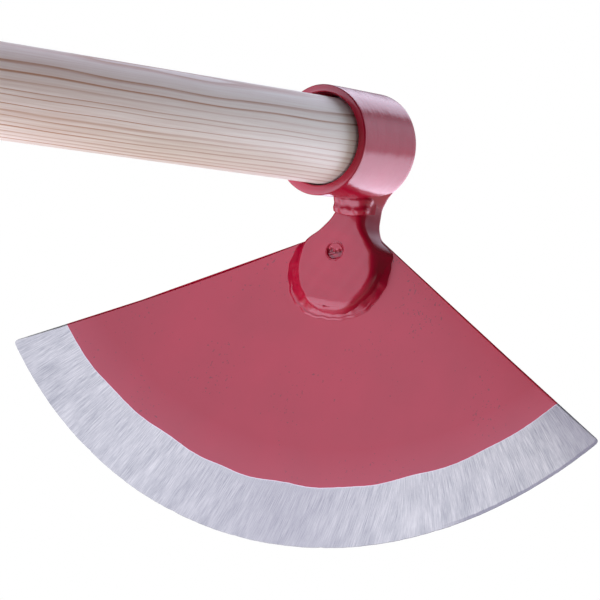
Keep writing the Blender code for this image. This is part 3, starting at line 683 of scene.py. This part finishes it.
def bareWood(name, pale, dark, ringGap):
    # planed, sanded and left dry: pale earlywood with thin, unevenly spaced tan latewood lines
    w = woodLook
    material, tree = newMaterial(name)
    place = put(tree, "TexCoord").outputs["Object"]
    slow = put(tree, "Mapping", {"Vector": place, "Scale": w["bendScale"]}).outputs[0]
    bend = put(tree, "TexNoise", dict(Vector=slow, Scale=1.0, Detail=2.0)).outputs["Fac"]
    parts = put(tree, "SeparateXYZ", dict(Vector=place)).outputs
    # growth rings are circles about the pith
    sideways = put(tree, "Math", {0: parts["Y"], 1: -w["pithAcross"]}, operation="ADD").outputs[0]
    upwards = put(tree, "Math", {0: parts["Z"], 1: -w["pithAbove"]}, operation="ADD").outputs[0]
    spoke = put(tree, "CombineXYZ", dict(Y=sideways, Z=upwards)).outputs[0]
    radius = put(tree, "VectorMath", {0: spoke}, operation="LENGTH").outputs["Value"]
    bent = put(tree, "Math", {0: bend, 1: w["bend"], 2: radius}, operation="MULTIPLY_ADD").outputs[0]
    years = put(tree, "TexNoise", dict(W=bent, Scale=w["unevenYears"], Detail=1.0),
                noise_dimensions="1D").outputs["Fac"]
    count = put(tree, "Math", {0: bent, 1: 1 / ringGap, 2: years}, operation="MULTIPLY_ADD").outputs[0]
    saw = put(tree, "Math", {0: count}, operation="FRACT").outputs[0]
    line = put(tree, "ValToRGB", dict(Fac=saw),
               stops=((0.62, (0, 0, 0, 1)), (0.92, (1, 1, 1, 1)), (0.99, (0, 0, 0, 1)))).outputs["Color"]
    # some years' lines are strong and some faint
    year = put(tree, "Math", {0: count}, operation="FLOOR").outputs[0]
    strength = put(tree, "TexNoise", dict(W=year, Scale=3.7, Detail=0.0),
                   noise_dimensions="1D").outputs["Fac"]
    strength = put(tree, "MapRange", {"Value": strength, "From Min": 0.3, "From Max": 0.7, "To Min": 0.25,
                                      "To Max": 1.0}).outputs["Result"]
    fibre = put(tree, "Mapping", {"Vector": place, "Scale": w["fibreScale"]}).outputs[0]
    grain = put(tree, "TexNoise", dict(Vector=fibre, Scale=1.0, Detail=5.0, Roughness=0.65)).outputs["Fac"]
    shade = put(tree, "Math", {0: line, 1: strength}, operation="MULTIPLY").outputs[0]
    shade = put(tree, "Math", {0: shade, 1: w["lineShare"], 2: w["offset"]},
                operation="MULTIPLY_ADD").outputs[0]
    shade = put(tree, "Math", {0: grain, 1: w["grainShare"], 2: shade}, operation="MULTIPLY_ADD").outputs[0]
    # the bar is lighter near its head and darker further from it
    darkerAlong = put(tree, "MapRange", {"Value": parts["X"], "From Min": 0.56, "From Max": 0.38, "To Min": -0.06,
                                  "To Max": 0.28}).outputs["Result"]
    shade = put(tree, "Math", {0: shade, 1: darkerAlong}, operation="ADD").outputs[0]
    colour = put(tree, "ValToRGB", dict(Fac=shade),
                 stops=((0.05, linear(pale)), (0.85, linear(dark)))).outputs["Color"]
    bump = put(tree, "Bump", dict(Height=shade, Strength=w["grainStrength"], Distance=w["grainHeight"]),
               invert=True).outputs["Normal"]
    shader = put(tree, "BsdfPrincipled", {"Base Color": colour, "Roughness": w["roughness"], "IOR": 1.5,
                                          "Normal": bump})
    put(tree, "OutputMaterial", dict(Surface=shader.outputs["BSDF"]))
    return material


glossRed = enamel("glossEnamelOnForging", 0.16, 0.10)
makeBlade(bladeFinish())
makeRing(enamel("glossEnamelOnTurnedRing", 0.19, 0.16, turned=0.6))
makeNeck(glossRed)
makePadWeld(glossRed)
makeEyeWeld(glossRed)
makeRivet(enamel("scarredEnamelOnRivet", 0.16, 0.10, scarred=True))
makeHandle(bareWood("sandedAsh", "#F0ECE1", "#A66C38", 0.0024))
makeWedge(bareWood("sawnOak", "#B98F62", "#7A5230", 0.0016))

# soft studio light: brightness below and above the horizon, and each one's tint
studio = dict(floorDrop=0.55, floorSize=30.0, below=1.1, above=0.11, belowTint="#FFFBF6", aboveTint="#F0F2FF",
              panelTint="#EBE9FF")
# soft-edged panels: direction from the hoe, radiance, and the angles in degrees inside which a panel is full
# and outside which it has gone
panels = [((-0.70, 0.60, 0.38), 2.4, 16, 34), ((-0.80, 0.60, 0.02), 2.4, 10, 22),
          ((-0.74, 0.42, -0.46), 4.2, 20, 38), ((0.92, 0.10, -0.42), 4.6, 20, 36),
          ((0.80, -0.40, -0.40), 4.6, 14, 26), ((0.80, 0.30, 0.55), 3.2, 16, 30),
          ((0.80, -0.50, 0.26), 1.9, 12, 30)]
# black boards beside the backdrop and round the camera: direction, the same two angles, share of light left
boards = [((0.20, 0.97, 0.02), 28, 42, 0.04), ((-0.82, -0.52, -0.20), 30, 62, 0.35),
          ((0.92, 0.37, 0.14), 10, 20, 0.15)]


def makeFloor():
    # a plain white floor well below the hoe; the light it would throw back is the world's lower half
    size, z = studio["floorSize"] / 2, -studio["floorDrop"]
    mesh = bpy.data.meshes.new("studioFloor")
    mesh.from_pydata([(-size, -size, z), (size, -size, z), (size, size, z), (-size, size, z)], [],
                     [(0, 1, 2, 3)])
    floor = bpy.data.objects.new("studioFloor", mesh)
    bpy.context.collection.objects.link(floor)
    material, tree = newMaterial("litWhitePaper")
    glow = put(tree, "Emission", {"Color": (1.0, 1.0, 1.0, 1.0), "Strength": 1.0})
    put(tree, "OutputMaterial", dict(Surface=glow.outputs[0]))
    mesh.materials.append(material)
    floor.visible_diffuse = False
    floor.visible_glossy = False
    floor.visible_shadow = False


def lobe(tree, way, direction, full, gone, outside, inside):
    # a soft-edged round patch of the sky about one direction
    unit = np.array(direction) / np.linalg.norm(direction)
    near = put(tree, "VectorMath", {0: way, 1: tuple(unit)}, operation="DOT_PRODUCT").outputs["Value"]
    return put(tree, "MapRange", {"Value": near, "From Min": math.cos(math.radians(gone)), "To Min": outside,
                                  "From Max": math.cos(math.radians(full)), "To Max": inside},
               interpolation_type="SMOOTHSTEP").outputs["Result"]


def makeWorld():
    # the camera sees plain white; the hoe is lit by the panels and a gentle base light
    world = bpy.data.worlds.new("whiteStudio")
    world.use_nodes = True
    tree = world.node_tree
    tree.nodes.clear()
    way = put(tree, "TexCoord").outputs["Generated"]
    height = put(tree, "SeparateXYZ", dict(Vector=way)).outputs["Z"]
    level = put(tree, "MapRange", {"Value": height, "From Min": -0.12, "From Max": 0.12,
                                   "To Min": studio["below"], "To Max": studio["above"]}).outputs["Result"]
    strongest = 0.0
    for direction, radiance, full, gone in panels:
        glow = lobe(tree, way, direction, full, gone, 0.0, radiance)
        strongest = put(tree, "Math", {0: strongest, 1: glow}, operation="MAXIMUM").outputs[0]
    level = put(tree, "Math", {0: level, 1: strongest}, operation="MAXIMUM").outputs[0]
    for direction, full, gone, left in boards:
        shade = lobe(tree, way, direction, full, gone, 1.0, left)
        level = put(tree, "Math", {0: level, 1: shade}, operation="MULTIPLY").outputs[0]
    high = put(tree, "MapRange", {"Value": height, "From Min": -0.6, "From Max": 0.1}).outputs["Result"]
    tint = put(tree, "Mix", {0: high, 6: linear(studio["belowTint"]), 7: linear(studio["aboveTint"])},
               data_type="RGBA").outputs[2]
    tint = put(tree, "Mix", {0: strongest, 6: tint, 7: linear(studio["panelTint"])},
               data_type="RGBA").outputs[2]
    light = put(tree, "Background", dict(Color=tint, Strength=level)).outputs[0]
    plain = put(tree, "Background", dict(Color=(1.0, 1.0, 1.0, 1.0), Strength=1.0)).outputs[0]
    seen = put(tree, "LightPath").outputs["Is Camera Ray"]
    both = put(tree, "MixShader", {0: seen, 1: light, 2: plain}).outputs[0]
    put(tree, "OutputWorld", dict(Surface=both))
    bpy.context.scene.world = world
    bpy.context.scene.view_settings.view_transform = "Standard"


# degrees; aim is in mm in the eye's frame, distance in metres, sensor and lens in mm
cameraView = dict(turn=36.912, tilt=-1.532, roll=7.641, aim=(-0.96, -1.61, -65.74), distance=1.62757,
                  sensor=36.0, lens=240.0, clipEnd=100.0)


def makeCamera():
    # a long lens, turned a little about its own axis, aimed just under the front rim of the eye
    w = cameraView
    turn, tilt, roll = (math.radians(w[key]) for key in ("turn", "tilt", "roll"))
    ahead = Vector((math.cos(tilt) * math.cos(turn), math.cos(tilt) * math.sin(turn), math.sin(tilt)))
    level = ahead.cross(Vector((0, 0, 1))).normalized()
    up = level.cross(ahead)
    right = level * math.cos(roll) + up * math.sin(roll)
    top = up * math.cos(roll) - level * math.sin(roll)
    place = Vector(eyeCentre) + Vector(w["aim"]) * mm - ahead * w["distance"]
    camera = bpy.data.objects.new("camera", bpy.data.cameras.new("camera"))
    bpy.context.collection.objects.link(camera)
    camera.data.sensor_width = w["sensor"]
    camera.data.lens = w["lens"]
    camera.data.clip_end = w["clipEnd"]
    camera.matrix_world = Matrix(((right.x, top.x, -ahead.x, place.x), (right.y, top.y, -ahead.y, place.y),
                                  (right.z, top.z, -ahead.z, place.z), (0, 0, 0, 1)))
    bpy.context.scene.camera = camera


makeFloor()
makeWorld()
makeCamera()
print("studio made")
